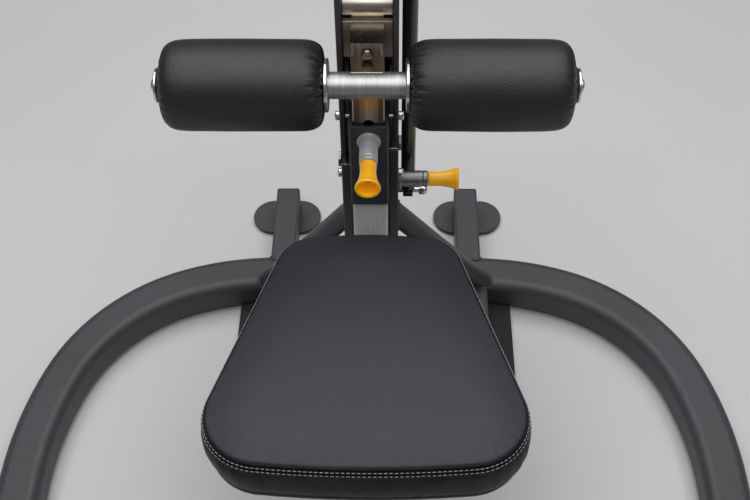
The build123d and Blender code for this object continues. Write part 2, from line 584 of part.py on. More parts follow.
def make_seat_frame():
    leg_back = SLIDE_BAR_FRONT
    half = SEAT_LEG_HALF
    leg = block((-half, half), (POST_FRONT, leg_back), (SEAT_LEG_BOTTOM, SEAT_LEG_TOP))
    leg = fillet(leg.edges().filter_by(Axis.Z), 3.0)
    leg = chamfer(leg.faces().sort_by(Axis.Z)[-1].edges(), 2.4)
    wall = 4.0
    leg_hollow = ((-half + wall, half - wall), (POST_FRONT + wall, leg_back - wall))
    leg -= block(*leg_hollow, (SEAT_LEG_BOTTOM, SEAT_LEG_TOP - 6))
    save("seat_leg", leg)
    top = SEAT_PLATE_BOTTOM
    bottom = top - SEAT_ARM_SIZE
    half = SEAT_ARM_SIZE / 2
    arm = block((-half, half), (SEAT_ARM_FRONT, POST_FRONT), (bottom, top))
    arm = fillet(arm.edges().filter_by(Axis.Y), 6.0)
    inside = half - TUBE_WALL
    arm -= block((-inside, inside), (SEAT_ARM_FRONT, POST_FRONT), (bottom + TUBE_WALL, top - TUBE_WALL))
    save("seat_arm", arm)
    cap = end_cap(SEAT_ARM_SIZE, SEAT_ARM_SIZE, TUBE_WALL, 6.0, SEAT_ARM_FRONT - CAP_FLANGE, (0, top - half))
    save("seat_arm_cap", cap)


def make_slide_bar():
    half = SLIDE_BAR_HALF
    y_range = (SLIDE_BAR_FRONT, SLIDE_BAR_FRONT + SLIDE_BAR_DEPTH)
    bar = block((-half, half), y_range, (SLIDE_BAR_BOTTOM, SLIDE_BAR_TOP))
    bar = fillet(bar.edges().filter_by(Axis.Z), 2.5)
    wall = 4.0
    hollow = ((-half + wall, half - wall), (y_range[0] + wall, y_range[1] - wall))
    bar -= block(*hollow, (SLIDE_BAR_BOTTOM, SLIDE_BAR_TOP))
    y, z = SIDE_PLUNGER
    for step in range(5):
        height = z + step * SEAT_HOLE_PITCH
        bar -= rod((half - wall - 1, y, height), (half + 1, y, height), PIN_HOLE)
    save("seat_slide_bar", bar)


os.makedirs("parts", exist_ok=True)
base_outer = tube_sweep(0.0)
make_base(base_outer)
make_hub(base_outer)
make_rear_legs(base_outer)
make_mast()
make_braces(base_outer)
make_sleeve()
make_seat_guides()
make_plungers()
make_strut()
make_post()
make_saddle()
make_roller_bar()
make_rollers()
make_carriage_guide()
make_seat_top()
make_seat_frame()
make_slide_bar()
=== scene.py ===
import math
import random

import bmesh
import bpy
from mathutils import Matrix, Vector, noise
from mathutils.bvhtree import BVHTree


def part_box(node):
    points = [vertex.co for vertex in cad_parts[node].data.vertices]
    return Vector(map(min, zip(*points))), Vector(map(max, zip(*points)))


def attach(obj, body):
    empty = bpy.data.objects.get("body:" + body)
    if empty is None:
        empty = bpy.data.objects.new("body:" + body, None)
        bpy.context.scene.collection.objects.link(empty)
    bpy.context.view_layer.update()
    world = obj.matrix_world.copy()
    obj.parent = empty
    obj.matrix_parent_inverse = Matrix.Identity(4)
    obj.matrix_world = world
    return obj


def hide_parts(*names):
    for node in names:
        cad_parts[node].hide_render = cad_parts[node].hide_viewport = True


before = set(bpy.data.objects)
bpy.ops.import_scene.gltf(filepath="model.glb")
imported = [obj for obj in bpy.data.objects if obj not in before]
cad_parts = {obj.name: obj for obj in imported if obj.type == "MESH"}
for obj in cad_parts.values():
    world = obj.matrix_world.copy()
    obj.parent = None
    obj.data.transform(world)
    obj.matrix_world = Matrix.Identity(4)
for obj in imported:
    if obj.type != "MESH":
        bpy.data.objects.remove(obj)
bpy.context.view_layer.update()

# ---- Frame steel: horseshoe tube, hub, rear legs, mast, braces, sleeve and the seat's arm ----
# Mild steel tube and plate, sprayed with a fine textured charcoal powder and baked. The powder is a
# little thinner and smoother on outside corners, and is painted paler there: some wear, and a painted
# highlight along the edges.


class Value:
    """One output of a shader node. Sums and products of values add Math nodes."""

    def __init__(self, finish, socket):
        self.finish = finish
        self.socket = socket

    def maths(self, operation, first, second):
        return self.finish.node("ShaderNodeMath", {"operation": operation}, {0: first, 1: second})

    def __add__(self, other):
        return self.maths("ADD", self, other)

    def __mul__(self, other):
        return self.maths("MULTIPLY", self, other)

    def __sub__(self, other):
        return self.maths("SUBTRACT", self, other)

    def __rsub__(self, other):
        return self.maths("SUBTRACT", other, self)

    __radd__ = __add__
    __rmul__ = __mul__

    def between(self, low, high):
        """0 below low, 1 above high and smooth in between."""
        smooth = {"interpolation_type": "SMOOTHSTEP"}
        return self.finish.node("ShaderNodeMapRange", smooth, {0: self, 1: low, 2: high})


class Finish:
    """A material being made up: its shader, and one way to add any other node."""

    def __init__(self, name, **constants):
        self.material = bpy.data.materials.new(name)
        self.material.use_nodes = True
        self.tree = self.material.node_tree
        self.shader = self.tree.nodes["Principled BSDF"]
        for socket, value in constants.items():
            self.shader.inputs[socket.replace("_", " ")].default_value = value

    def node(self, kind, settings, inputs, output=0):
        made = self.tree.nodes.new(kind)
        for key, value in settings.items():
            setattr(made, key, value)
        for key, value in inputs.items():
            if isinstance(value, Value):
                self.tree.links.new(value.socket, made.inputs[key])
            else:
                made.inputs[key].default_value = value
        return Value(self, made.outputs[output])

    def feed(self, socket, value):
        self.tree.links.new(value.socket, self.shader.inputs[socket])

    def where(self, stretch=(1.0, 1.0, 1.0)):
        """Places on the piece, in metres, stretched along each axis."""
        place = self.node("ShaderNodeTexCoord", {}, {}, "Object")
        return self.node("ShaderNodeVectorMath", {"operation": "MULTIPLY"}, {0: place, 1: stretch})

    def cloud(self, per_metre, detail=2.0, stretch=(1.0, 1.0, 1.0)):
        """Soft random speckle with about that many blobs in a metre."""
        inputs = {"Vector": self.where(stretch), "Scale": per_metre, "Detail": detail}
        return self.node("ShaderNodeTexNoise", {}, inputs)

    def cells(self, per_metre):
        """Pebbled grain: 0 at the middle of each pebble, rising to its edge."""
        inputs = {"Vector": self.where(), "Scale": per_metre}
        return self.node("ShaderNodeTexVoronoi", {"feature": "F1"}, inputs)

    def colour(self, mask, dark, light):
        inputs = {0: mask, 6: (*dark, 1.0), 7: (*light, 1.0)}
        return self.node("ShaderNodeMix", {"data_type": "RGBA"}, inputs, 2)

    def relief(self, height, depth, radius=0.0):
        """Feed the normal with a relief of that depth in metres, over edges softened to a radius."""
        inputs = {"Strength": 1.0, "Distance": depth, "Height": height}
        if radius:
            inputs["Normal"] = self.softened(radius)
        self.feed("Normal", self.node("ShaderNodeBump", {}, inputs))

    def softened(self, radius):
        return self.node("ShaderNodeBevel", {"samples": 4}, {"Radius": radius})

    def corners(self, radius):
        """1 along outside corners and 0 on open faces."""
        flat = self.node("ShaderNodeNewGeometry", {}, {}, "Normal")
        turned = {0: self.softened(radius), 1: flat}
        facing = self.node("ShaderNodeVectorMath", {"operation": "DOT_PRODUCT"}, turned, "Value")
        return (1.0 - facing).between(0.004, 0.12)


def coat(finish, *nodes):
    """Give CAD nodes a finish."""
    for name in nodes:
        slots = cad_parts[name].data.materials
        slots.clear()
        slots.append(finish.material)


powder_coat = Finish("charcoal_powder_coat", Specular_IOR_Level=0.5)
powder_grit = powder_coat.cloud(620.0, 3.0)
powder_drift = powder_coat.cloud(7.0, 2.0)
powder_edges = powder_coat.corners(0.0025)
powder_shade = powder_grit.between(0.30, 0.70) * 0.7 + powder_drift.between(0.35, 0.65) * 0.3
powder_body = powder_coat.colour(powder_shade, (0.033, 0.033, 0.038), (0.054, 0.054, 0.063))
# Outside corners mix toward a paler grey: edge wear together with a painted edge highlight.
powder_wear_and_edge_highlight = powder_coat.node(
    "ShaderNodeMix",
    {"data_type": "RGBA"},
    {0: powder_edges * 0.45, 6: powder_body, 7: (0.090, 0.090, 0.101, 1.0)},
    2,
)
powder_coat.feed("Base Color", powder_wear_and_edge_highlight)
powder_coat.feed("Roughness", powder_grit * 0.18 + powder_edges * -0.08 + 0.40)
powder_coat.relief(powder_grit, 0.00028, 0.0015)

painted_steel = [
    "base_tube", "hub_deck", "hub_walls", "rear_leg_left", "rear_leg_right",
    "foot_plate_left", "foot_plate_right", "mast_plate_left", "mast_plate_right",
    "mast_back_plate", "mast_rail_left", "mast_rail_right", "brace_left", "brace_right",
    "post_sleeve", "strut_hanger", "seat_arm", "seat_plate",
]
coat(powder_coat, *painted_steel)


# ---- Weld beads ----
# The steel is joined by hand-run fillet welds, sprayed over with the same powder. Each bead
# is a round rib laid along the joint, scalloped where the puddle was moved on.
BEAD_PITCH = 0.0030
BEAD_SIDES = 8


def surface_of(*nodes):
    """The outside of some CAD nodes, for finding where a line meets them."""
    shape = bmesh.new()
    for name in nodes:
        shape.from_mesh(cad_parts[name].data)
    tree = BVHTree.FromBMesh(shape)
    shape.free()
    return tree


def skin(across, along, place):
    """A sheet of faces bent to shape by place(a, b), with a and b running from 0 to 1. Edges
    that come together are joined."""
    shape = bmesh.new()
    bmesh.ops.create_grid(shape, x_segments=across, y_segments=along, size=1.0)
    for vertex in shape.verts:
        vertex.co = place((vertex.co.x + 1.0) / 2.0, (vertex.co.y + 1.0) / 2.0)
    bmesh.ops.remove_doubles(shape, verts=shape.verts, dist=1e-6)
    return shape


def piece(name, shape, finish, body):
    """Turn a shape into a smooth-shaded piece that rides on a body."""
    bmesh.ops.recalc_face_normals(shape, faces=shape.faces)
    mesh = bpy.data.meshes.new(name)
    shape.to_mesh(mesh)
    shape.free()
    mesh.shade_smooth()
    mesh.materials.append(finish.material)
    made = bpy.data.objects.new(name, mesh)
    bpy.context.scene.collection.objects.link(made)
    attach(made, body)
    return made


def with_mirror_image(shape):
    """Add the left-hand copy of a right-hand shape."""
    everything = shape.verts[:] + shape.edges[:] + shape.faces[:]
    bmesh.ops.mirror(shape, geom=everything, axis="X", merge_dist=-1.0)
    return shape


def evenly(points, spacing, closed):
    """Points along a line at even spacing."""
    ends = points + points[:1] if closed else points
    lengths = [0.0]
    for a, b in zip(ends, ends[1:]):
        lengths.append(lengths[-1] + (b - a).length)
    count = max(4, round(lengths[-1] / spacing))
    spaced = []
    leg = 0
    for step in range(count if closed else count + 1):
        target = lengths[-1] * step / count
        while leg < len(ends) - 2 and lengths[leg + 1] < target:
            leg += 1
        share = (target - lengths[leg]) / max(lengths[leg + 1] - lengths[leg], 1e-9)
        spaced.append(ends[leg].lerp(ends[leg + 1], min(share, 1.0)))
    return spaced


def weld_bead(points, radius, upright, closed=False):
    """A scalloped rib along a joint. upright is any direction that the joint never follows."""
    spaced = evenly(points, BEAD_PITCH / 4.0, closed)
    count = len(spaced)
    laps = count if closed else count - 1

    def place(a, b):
        step = round(b * laps)
        ahead = spaced[(step + 1) % count] if closed else spaced[min(step + 1, laps)]
        behind = spaced[(step - 1) % count] if closed else spaced[max(step - 1, 0)]
        side = (ahead - behind).cross(upright).normalized()
        lift = side.cross(ahead - behind).normalized()
        centre = spaced[step % count]
        scallop = abs(math.sin(math.pi * step / 4.0))
        wander = noise.noise(centre * 160.0)
        size = radius * (0.80 + 0.20 * scallop + 0.12 * wander)
        if not closed and step in (0, laps):
            size = 0.0
        turn = 2.0 * math.pi * a
        return centre + (side * math.cos(turn) + lift * math.sin(turn)) * size

    return skin(BEAD_SIDES, laps, place)


def round_brace(along, radius, start, surface):
    """Where lines along a round tube's outside first meet a surface."""
    side = along.orthogonal().normalized()
    up = along.cross(side).normalized()
    landed = []
    for step in range(48):
        turn = 2.0 * math.pi * step / 48
        edge = start + (side * math.cos(turn) + up * math.sin(turn)) * radius
        hit = surface.ray_cast(edge, along)[0]
        if hit is not None:
            landed.append(hit)
    return landed


brace_foot = Vector((0.191, 0.272, 0.034))
brace_head = Vector((0.0375, 0.170, 0.325))
brace_middle = (brace_foot + brace_head) / 2.0
brace_down = (brace_foot - brace_head).normalized()
brace_radius = 0.0160
foot_ring = round_brace(brace_down, brace_radius, brace_middle, surface_of("base_tube", "hub_deck"))
foot_weld = with_mirror_image(weld_bead(foot_ring, 0.0030, brace_down, closed=True))
piece("brace_foot_welds", foot_weld, powder_coat, "frame")
head_ring = round_brace(-brace_down, brace_radius, brace_middle, surface_of("mast_plate_right"))
head_weld = with_mirror_image(weld_bead(head_ring, 0.0026, Vector((1, 0, 0)), closed=True))
piece("brace_head_welds", head_weld, powder_coat, "frame")

leg_low, leg_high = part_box("rear_leg_right")
inset = 0.0008
leg_corners = [
    (leg_low.x, leg_low.z + 0.004), (leg_low.x, leg_high.z - 0.004),
    (leg_low.x + 0.004, leg_high.z - inset), (leg_high.x - 0.004, leg_high.z - inset),
    (leg_high.x, leg_high.z - 0.004), (leg_high.x, leg_low.z + 0.004),
]
tube_surface = surface_of("base_tube")
leg_line = evenly([Vector((x, 0.42, z)) for x, z in leg_corners], 0.002, False)
leg_joint = [tube_surface.ray_cast(start, Vector((0, -1, 0)))[0] for start in leg_line]
leg_weld = weld_bead([hit for hit in leg_joint if hit is not None], 0.0028, Vector((0, 1, 0)))
piece("rear_leg_welds", with_mirror_image(leg_weld), powder_coat, "frame")

plate_low, plate_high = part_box("foot_plate_right")
for name, x in (("foot_plate_inner_welds", leg_low.x), ("foot_plate_outer_welds", leg_high.x)):
    seam_start = Vector((x, plate_low.y + 0.003, plate_high.z))
    seam_end = Vector((x, leg_high.y - 0.004, plate_high.z))
    bead = weld_bead([seam_start, seam_end], 0.0026, Vector((0, 0, 1)))
    piece(name, with_mirror_image(bead), powder_coat, "frame")

deck_low, deck_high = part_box("hub_deck")
mast_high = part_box("mast_plate_right")[1]
rail_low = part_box("mast_rail_right")[0]
mast_seam = [
    Vector((rail_low.x + 0.002, rail_low.y, deck_high.z)),
    Vector((mast_high.x, rail_low.y, deck_high.z)),
    Vector((mast_high.x, mast_high.y, deck_high.z)),
    Vector((0.001, mast_high.y, deck_high.z)),
]
mast_weld = weld_bead(mast_seam, 0.0030, Vector((0, 0, 1)))
piece("mast_foot_welds", with_mirror_image(mast_weld), powder_coat, "frame")
deck_seam = [
    Vector((deck_high.x, deck_low.y + 0.010, deck_high.z - 0.0005)),
    Vector((deck_high.x, deck_high.y - 0.001, deck_high.z - 0.0005)),
    Vector((0.0375, deck_high.y - 0.001, deck_high.z - 0.0005)),
]
deck_weld = weld_bead(deck_seam, 0.0022, Vector((0, 0, 1)))
piece("hub_deck_welds", with_mirror_image(deck_weld), powder_coat, "frame")


# ---- Rubber under the base ----
# Moulded black rubber strips, a mat round the floor plate and oval pads under the rear feet. Dull,
# faintly mottled and dusty. The floor plate itself is given the same black, as painted shade for the
# shadow the seat casts on it.
rubber = Finish("rubber_and_floor_plate_shade", Specular_IOR_Level=0.3)
rubber_speck = rubber.cloud(420.0, 3.0)
rubber_dust = rubber.cloud(22.0, 3.0)
rubber.feed("Base Color", rubber.colour(rubber_dust, (0.012, 0.012, 0.012), (0.030, 0.029, 0.028)))
rubber.feed("Roughness", rubber_speck * 0.2 + 0.68)
rubber.relief(rubber_speck, 0.00015, 0.0008)
# floor_plate takes this black finish as painted shade: its darkness stands for the seat's shadow.
coat(rubber, "base_feet", "floor_plate", "floor_plate_mat", "foot_pads")


# ---- Moulded caps, bar plugs and roller cores ----
# Black nylon-filled plastic with a fine spark-eroded texture from the mould.
moulding = Finish("moulded_black_plastic", Specular_IOR_Level=0.45)
mould_texture = moulding.cells(1500.0)
mould_flow = moulding.cloud(30.0, 2.0)
moulding.feed("Base Color", moulding.colour(mould_flow, (0.014, 0.014, 0.015), (0.024, 0.024, 0.026)))
moulding.feed("Roughness", mould_texture * 0.15 + 0.42)
moulding.relief(mould_texture, 0.00006, 0.0008)
moulded_caps = ["arm_end_caps", "rear_leg_caps", "mast_top_cap", "seat_arm_cap", "bar_end_plugs"]
coat(moulding, *moulded_caps, "roller_core_left", "roller_core_right")


# ---- Guide strips ----
# Machined natural nylon, warm ivory, with faint tool lines, screwed inside the mast plates.
nylon = Finish("natural_nylon", Specular_IOR_Level=0.5, Subsurface_Weight=0.05)
nylon_lines = nylon.cloud(1.0, 2.0, (2600.0, 60.0, 60.0))
nylon_tone = nylon.cloud(25.0, 2.0)
nylon.feed("Base Color", nylon.colour(nylon_tone, (0.50, 0.43, 0.33), (0.62, 0.55, 0.44)))
nylon.feed("Roughness", nylon_lines * 0.12 + 0.30)
nylon.relief(nylon_lines, 0.00004, 0.0008)
coat(nylon, "seat_guide_left", "seat_guide_right")


# ---- Bright metal: post, saddle, bracket, seat leg, roller bar and discs ----
# Steel tube and bar under satin nickel-chrome plate. Brushing runs along the tubes, and the
# round parts show the lathe's rings.
def plated(name, dark, light, roughness, brushing, depth=0.00002):
    """Plated steel with brushing that has so many lines in a metre along each axis."""
    finish = Finish(name, Metallic=1.0)
    lines = finish.cloud(1.0, 3.0, brushing)
    smears = finish.cloud(16.0, 3.0)
    shade = lines.between(0.36, 0.64) * 0.6 + smears * 0.4
    finish.feed("Base Color", finish.colour(shade, dark, light))
    finish.feed("Roughness", lines * 0.16 + smears * 0.10 + (roughness - 0.13))
    finish.relief(lines, depth, 0.0010)
    return finish


# The post's and the guide's colours are darkened and tinted warm brown: a painted reflection of warm
# light, laid on the plate's own colour.
NICKEL_WITH_PAINTED_WARM_REFLECTION = ((0.16, 0.135, 0.11), (0.40, 0.35, 0.29))
CHROME_WITH_PAINTED_WARM_REFLECTION = ((0.40, 0.36, 0.30), (0.66, 0.61, 0.53))
PALE_CHROME = ((0.66, 0.66, 0.66), (0.80, 0.80, 0.79))
DULL_CHROME = ((0.34, 0.34, 0.34), (0.52, 0.52, 0.51))

post_chrome = plated("post_nickel_painted_warm_reflection", *NICKEL_WITH_PAINTED_WARM_REFLECTION, 0.24, (900.0, 900.0, 12.0))
coat(post_chrome, "roller_post", "bar_saddle", "post_cap", "post_bolt")
guide_chrome = plated("guide_chrome_painted_warm_reflection", *CHROME_WITH_PAINTED_WARM_REFLECTION, 0.34, (60.0, 700.0, 700.0))
coat(guide_chrome, "guide_bar", "guide_bracket")
leg_chrome = plated("seat_leg_satin_chrome", *PALE_CHROME, 0.50, (1100.0, 1100.0, 14.0))
leg_chrome.shader.inputs["Metallic"].default_value = 0.15
coat(leg_chrome, "seat_leg", "seat_slide_bar")
bar_chrome = plated("roller_bar_satin_chrome", *DULL_CHROME, 0.46, (800.0, 20.0, 20.0))
coat(bar_chrome, "roller_bar")

disc_chrome = Finish("disc_turned_chrome", Metallic=1.0)
disc_low, disc_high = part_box("roller_discs")
disc_centre = (disc_low + disc_high) / 2.0
from_axis = disc_chrome.node(
    "ShaderNodeVectorMath",
    {"operation": "SUBTRACT"},
    {0: disc_chrome.where((0.0, 1.0, 1.0)), 1: (0.0, disc_centre.y, disc_centre.z)},
)
disc_radius = disc_chrome.node("ShaderNodeVectorMath", {"operation": "LENGTH"}, {0: from_axis}, "Value")
disc_rings = disc_chrome.node(
    "ShaderNodeTexNoise",
    {"noise_dimensions": "1D"},
    {"W": disc_radius, "Scale": 2200.0, "Detail": 2.0},
)
disc_chrome.feed("Base Color", disc_chrome.colour(disc_rings, (0.55, 0.55, 0.55), (0.75, 0.75, 0.74)))
disc_chrome.feed("Roughness", disc_rings * 0.15 + 0.16)
disc_chrome.relief(disc_rings, 0.00003, 0.0008)
coat(disc_chrome, "roller_discs")


# ---- Fasteners, clips, springs, studs, strut rod and plunger pins ----
# Zinc-flashed and ground steel, brighter and smoother than the plated tube.
BRIGHT_STEEL = ((0.55, 0.55, 0.54), (0.80, 0.80, 0.79))
steel = plated("bright_steel", *BRIGHT_STEEL, 0.24, (500.0, 500.0, 500.0))
bright_parts = [
    "rail_clips", "sleeve_screws", "plunger_springs", "strut_lower_stud", "bar_end_bolts",
    "strut_rod", "strut_upper_stud", "seat_bolts", "front_plunger_pin", "side_plunger_pin",
]
coat(steel, *bright_parts)


# ---- Plunger barrels ----
# Turned from bar and zinc plated, with fine rings along the barrel. The side one is darker.
PALE_ZINC = ((0.42, 0.43, 0.44), (0.78, 0.79, 0.80))
GREY_ZINC = ((0.20, 0.20, 0.21), (0.36, 0.36, 0.37))
front_zinc = plated("front_barrel_zinc", *PALE_ZINC, 0.50, (20.0, 700.0, 20.0), 0.0003)
front_zinc.shader.inputs["Metallic"].default_value = 0.5
side_zinc = plated("side_barrel_zinc", *GREY_ZINC, 0.44, (700.0, 20.0, 20.0), 0.0002)
coat(front_zinc, "front_plunger_barrel")
coat(side_zinc, "side_plunger_barrel")


# ---- Plunger knobs ----
# Amber-yellow moulded grips, smooth with a faint swirl. Their colour also glows faintly: a painted glow
# that brightens them.
grip = Finish("amber_grip", Specular_IOR_Level=0.5, Subsurface_Weight=0.08, Coat_Roughness=0.2)
grip.shader.inputs["Subsurface Radius"].default_value = (0.004, 0.0018, 0.0004)
grip_swirl = grip.cloud(60.0, 3.0)
grip_speck = grip.cloud(900.0, 2.0)
grip_colour_and_glow = grip.colour(grip_swirl.between(0.3, 0.7), (0.95, 0.42, 0.004), (1.0, 0.52, 0.010))
grip.feed("Base Color", grip_colour_and_glow)
# Painted glow: the grip's colour is also emitted faintly, though the grip is no lamp.
grip.feed("Emission Color", grip_colour_and_glow)
grip.shader.inputs["Emission Strength"].default_value = 0.10
grip.feed("Roughness", grip_speck * 0.16 + 0.27)
grip.feed("Coat Weight", grip_swirl * 0.3)
grip.relief(grip_speck, 0.00005, 0.0008)
coat(grip, "front_knob", "side_knob")


# ---- Assist strut cylinder ----
# Drawn steel tube in gloss black stove enamel with a slight orange peel.
enamel = Finish("black_enamel", Specular_IOR_Level=0.5, Coat_Roughness=0.08)
enamel_peel = enamel.cloud(260.0, 1.0)
enamel_dust = enamel.cloud(35.0, 3.0)
enamel.feed("Base Color", enamel.colour(enamel_dust, (0.008, 0.008, 0.009), (0.018, 0.018, 0.020)))
enamel.feed("Roughness", enamel_dust * 0.12 + 0.18)
enamel.feed("Coat Weight", enamel_dust * 0.2 + 0.3)
enamel.relief(enamel_peel, 0.00008, 0.0010)
coat(enamel, "strut_cylinder")


# ---- Thigh rollers ----
# Dense foam sleeves in black coated vinyl. The cover is gathered at each end under the disc,
# so it puckers over the rounded shoulder, a little more at the inner end than at the outer.
ROLLER_STEPS = 264

# distance from the end and radius of each line round the cover, from the bore outwards
INNER_SHOULDER = [
    (0.0012, 0.0204), (0.0006, 0.0250), (0.0003, 0.0300), (0.0003, 0.0350), (0.0007, 0.0395),
    (0.0018, 0.0432), (0.0036, 0.0462), (0.0060, 0.0486), (0.0090, 0.0505), (0.0124, 0.0519),
    (0.0162, 0.0529), (0.0206, 0.0535), (0.0262, 0.0538), (0.0340, 0.0539), (0.0440, 0.0540),
    (0.0540, 0.0540),
]
OUTER_SHOULDER = [
    (0.0008, 0.0204), (0.0008, 0.0218), (0.0022, 0.0236), (0.0036, 0.0268), (0.0044, 0.0310),
    (0.0050, 0.0355), (0.0060, 0.0398), (0.0076, 0.0436), (0.0098, 0.0467), (0.0126, 0.0491),
    (0.0160, 0.0509), (0.0200, 0.0522), (0.0252, 0.0531), (0.0320, 0.0537), (0.0430, 0.0540),
    (0.0540, 0.0540),
]
INNER_GATHER = 1.0
OUTER_GATHER = 0.8
PLEAT_DEPTH = 0.0062

roller_vinyl = Finish("roller_black_vinyl", Specular_IOR_Level=0.5)
roller_pebble = roller_vinyl.cells(950.0)
roller_creases = roller_vinyl.cloud(330.0, 4.0)
roller_wear = roller_vinyl.cloud(11.0, 3.0)
roller_tone = roller_vinyl.colour(roller_wear, (0.008, 0.008, 0.009), (0.014, 0.014, 0.0155))
roller_vinyl.feed("Base Color", roller_tone)
roller_vinyl.feed("Roughness", roller_creases * 0.20 + roller_wear * 0.08 + 0.33)
roller_vinyl.relief(roller_pebble * -0.6 + roller_creases * 0.8, 0.00030)


def roller_cover(side):
    low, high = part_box(f"roller_pad_{side}")
    length = high.x - low.x
    axis = Vector((0.0, (low.y + high.y) / 2.0, (low.z + high.z) / 2.0))
    inner_end = [(x, r, INNER_GATHER) for x, r in INNER_SHOULDER]
    outer_end = [(length - x, r, OUTER_GATHER) for x, r in reversed(OUTER_SHOULDER)]
    body = [(length * share, 0.0541, 0.0) for share in (0.38, 0.44, 0.5, 0.56, 0.62)]
    bore = [(length * share, 0.0204, 0.0) for share in (0.75, 0.5, 0.25)]
    outline = inner_end + body + outer_end + bore + inner_end[:1]
    count = len(outline)
    inner_x, along = (low.x, 1.0) if side == "right" else (high.x, -1.0)
    chance = random.Random(17 if side == "right" else 29)
    phases = [chance.uniform(0.0, 2.0 * math.pi) for _ in range(8)]

    def pleat(turn, x):
        """How far the cover dips at a turn: narrow dark folds with full lobes between."""
        bend = 1.5 * math.sin(3 * turn + phases[0]) + 0.9 * math.sin(5 * turn + phases[1])
        fold = abs(math.cos(0.5 * (27 * turn + bend) + 0.35 * math.sin(x * 260.0 + phases[2])))
        fine = abs(math.cos(0.5 * (61 * turn + 2.0 * math.sin(4 * turn + phases[3]))))
        size = 0.65 + 0.35 * math.sin(2 * turn + phases[4]) * math.sin(7 * turn + phases[5])
        return size * (1.0 - fold ** 0.55) + 0.22 * (1.0 - fine ** 0.6)

    def place(a, b):
        row = round(b * (count - 1))
        x, radius, gather = outline[row]
        before = outline[max(row - 1, 0)]
        after = outline[min(row + 1, count - 1)]
        slope = Vector((after[0] - before[0], after[1] - before[1])).normalized()
        turn = 2.0 * math.pi * a
        outward = Vector((-slope.y, slope.x))
        from_end = min(x, length - x)
        reach = max(0.0, 1.0 - from_end / 0.021) ** 1.3
        face = min(1.0, max(0.0, (radius - 0.0215) / 0.010))
        dip = PLEAT_DEPTH * gather * reach * face * pleat(turn, x)
        if radius > 0.0500:
            spot = Vector((x * 18.0, 2.2 * math.cos(turn), 2.2 * math.sin(turn) + phases[6]))
            dip += 0.0005 * noise.noise(spot)
        x -= outward.x * dip
        radius -= outward.y * dip
        spot = Vector((inner_x + along * x, axis.y, axis.z))
        return spot + Vector((0.0, math.cos(turn), math.sin(turn))) * radius

    shape = skin(ROLLER_STEPS, count - 1, place)
    cover = piece(f"roller_cover_{side}", shape, roller_vinyl, f"roller_{side}")
    smooth = cover.modifiers.new("smooth", "SUBSURF")
    smooth.levels = smooth.render_levels = 1
    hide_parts(f"roller_pad_{side}")


roller_cover("right")
roller_cover("left")


# ---- Seat cushion ----
# Moulded foam under coated vinyl: a crowned charcoal top panel, sewn to a black side panel by a
# double-stitched seam under a crease round the top. The side panel's vinyl is made darker still, as
# painted shade for sides that get little light. The foam is blown up by a cloth simulation, and the
# cover is then fitted over it.
SEAM_STEP = 0.0030
FOAM_MOVE = 0.0055


def foam_under_cover():
    """The foam's outside once the cover presses it into shape."""
    shape = bmesh.new()
    shape.from_mesh(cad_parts["seat_pad"].data)
    bmesh.ops.remove_doubles(shape, verts=shape.verts, dist=1e-5)
    low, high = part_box("seat_pad")
    centre = Matrix.Translation((low + high) / -2.0)
    bmesh.ops.scale(shape, vec=(0.985, 0.985, 0.96), space=centre, verts=shape.verts)
    mesh = bpy.data.meshes.new("seat_foam")
    shape.to_mesh(mesh)
    shape.free()
    foam = bpy.data.objects.new("seat_foam", mesh)
    bpy.context.scene.collection.objects.link(foam)
    remesh = foam.modifiers.new("even", "REMESH")
    remesh.mode = "VOXEL"
    remesh.voxel_size = 0.006
    evened = foam.evaluated_get(bpy.context.evaluated_depsgraph_get())
    foam.data = bpy.data.meshes.new_from_object(evened)
    foam.modifiers.clear()
    rest = [vertex.co.copy() for vertex in foam.data.vertices]
    held = foam.vertex_groups.new(name="held")
    for index, spot in enumerate(rest):
        near_seam = 0.404 < spot.z < 0.428 and inset_of(spot) < 0.012
        if near_seam or spot.z < low.z + 0.006:
            held.add([index], 1.0, "REPLACE")
    cloth = foam.modifiers.new("cover", "CLOTH")
    cloth.settings.use_pressure = True
    cloth.settings.uniform_pressure_force = 4.0
    cloth.settings.vertex_group_mass = "held"
    cloth.settings.effector_weights.gravity = 0.0
    for step in range(1, 21):
        bpy.context.scene.frame_set(step)
    blown = bpy.data.meshes.new_from_object(foam.evaluated_get(bpy.context.evaluated_depsgraph_get()))
    most = max((vertex.co - spot).length for vertex, spot in zip(blown.vertices, rest))
    for vertex, spot in zip(blown.vertices, rest):
        vertex.co = spot + (vertex.co - spot) * min(1.0, FOAM_MOVE / most)
    shape = bmesh.new()
    shape.from_mesh(blown)
    every_axis = {"use_axis_x": True, "use_axis_y": True, "use_axis_z": True}
    bmesh.ops.smooth_vert(shape, verts=shape.verts, factor=0.5, **every_axis)
    tree = BVHTree.FromBMesh(shape)
    shape.free()
    bpy.data.objects.remove(foam)
    bpy.context.scene.frame_set(1)
    return tree


pad_low, pad_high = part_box("seat_pad")
pad_surface = surface_of("seat_pad")
pad_centre = Vector((0.0, -0.150, 0.400))
rough_outline = []
for step in range(1440):
    turn = 2.0 * math.pi * step / 1440 - math.pi / 2.0
    heading = Vector((math.cos(turn), math.sin(turn), 0))
    rough_outline.append(pad_surface.ray_cast(pad_centre, heading)[0])
outline = evenly(rough_outline, SEAM_STEP, True)
if len(outline) % 2:
    outline = evenly(rough_outline, SEAM_STEP * len(outline) / (len(outline) + 1), True)
columns = len(outline)
outward = []
for step in range(columns):
    along = outline[(step + 2) % columns] - outline[step - 2]
    outward.append(Vector((along.y, -along.x, 0.0)).normalized())


def inset_of(spot):
    """How far a point lies inside the seat's outline, seen from above."""
    level = Vector((spot.x, spot.y, pad_centre.z))
    return pad_surface.find_nearest(level)[3]


foam = foam_under_cover()
DOWN = Vector((0, 0, -1))

